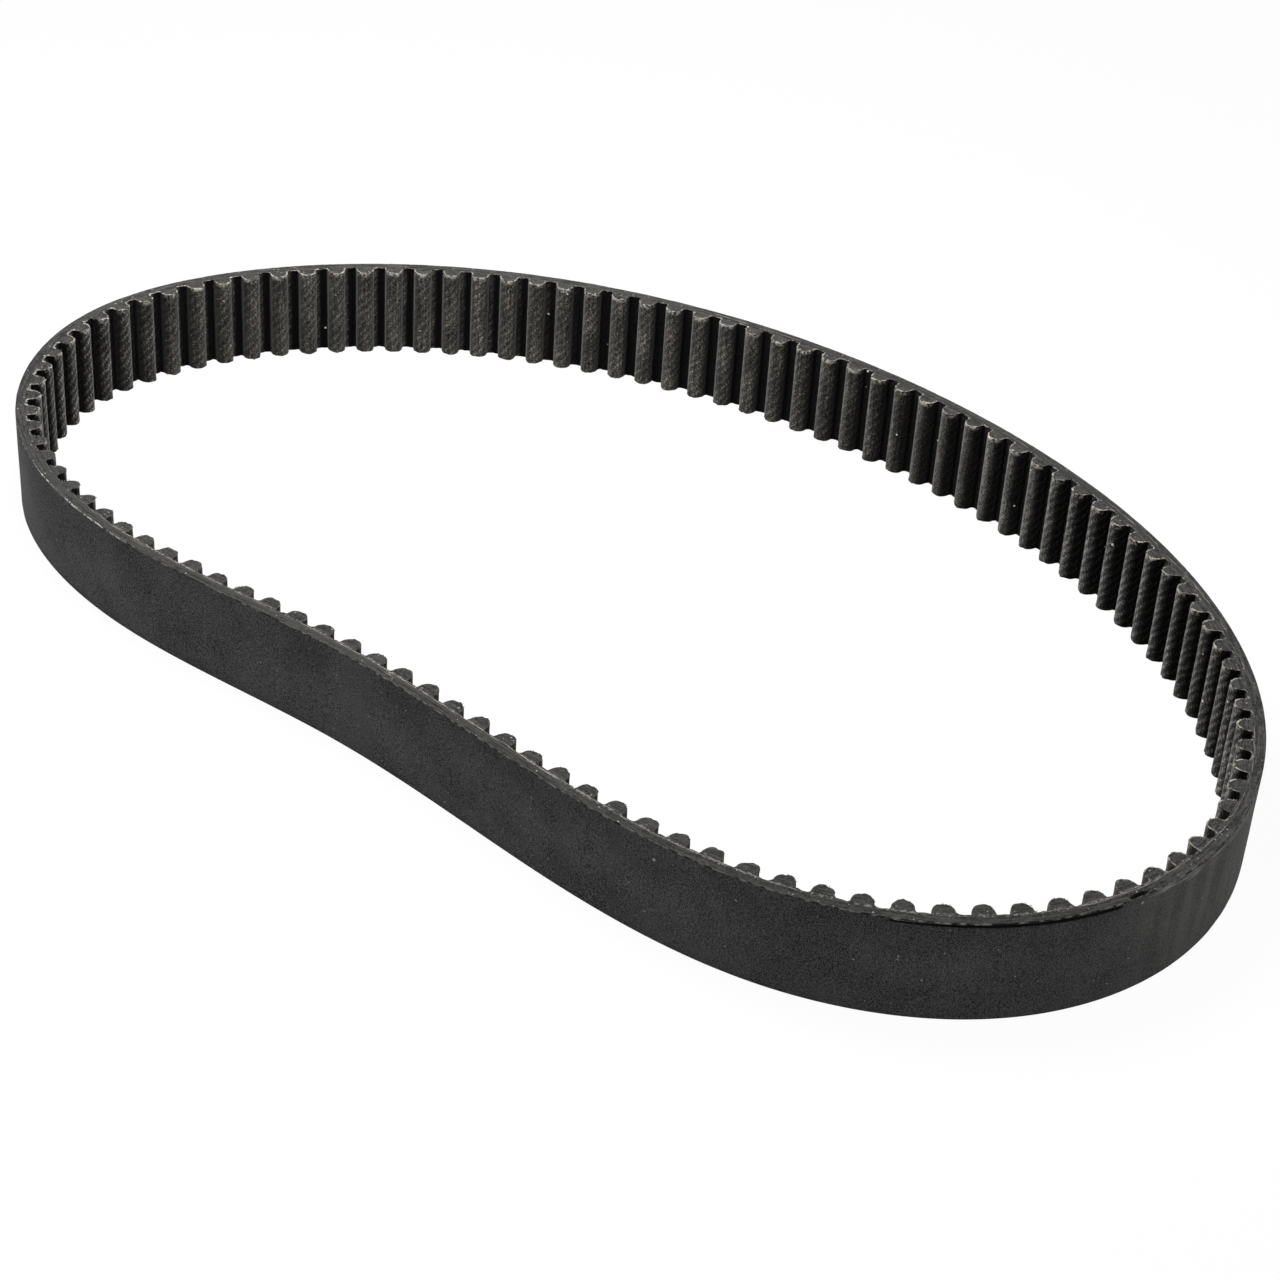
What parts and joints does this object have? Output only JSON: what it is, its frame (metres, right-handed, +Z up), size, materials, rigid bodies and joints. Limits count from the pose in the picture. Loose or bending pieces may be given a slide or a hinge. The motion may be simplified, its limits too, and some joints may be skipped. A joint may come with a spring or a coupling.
{
  "type": "timing belt",
  "caption": "Endless rubber timing belt with round teeth on its inner side, standing on a cut edge in a soft kidney-shaped loop.",
  "frame": {"origin": "middle of the floor that the belt's outline covers, at the level of its lower cut edge", "axes": "+X along the loop's longest way across, +Y from the side that sags in towards the long outer side, +Z up across the belt's width"},
  "size_m": [0.2106, 0.124, 0.015],
  "materials": {
    "backing_rubber": "black chloroprene rubber, ground to a fine matt grain, with dust in it",
    "glass_cord": "twisted glass fibre cord, dipped in adhesive",
    "tooth_rubber": "black chloroprene rubber, sliced, with a slight drag grain",
    "nylon_facing": "woven black nylon, worn and dusty brown-grey"
  },
  "bodies": {
    "root": {"backing_rubber": "backing_rubber", "s_twist_cord": "glass_cord", "z_twist_cord": "glass_cord", "tooth_rubber": "tooth_rubber", "facing_fabric": "nylon_facing"}
  },
  "joints": []
}
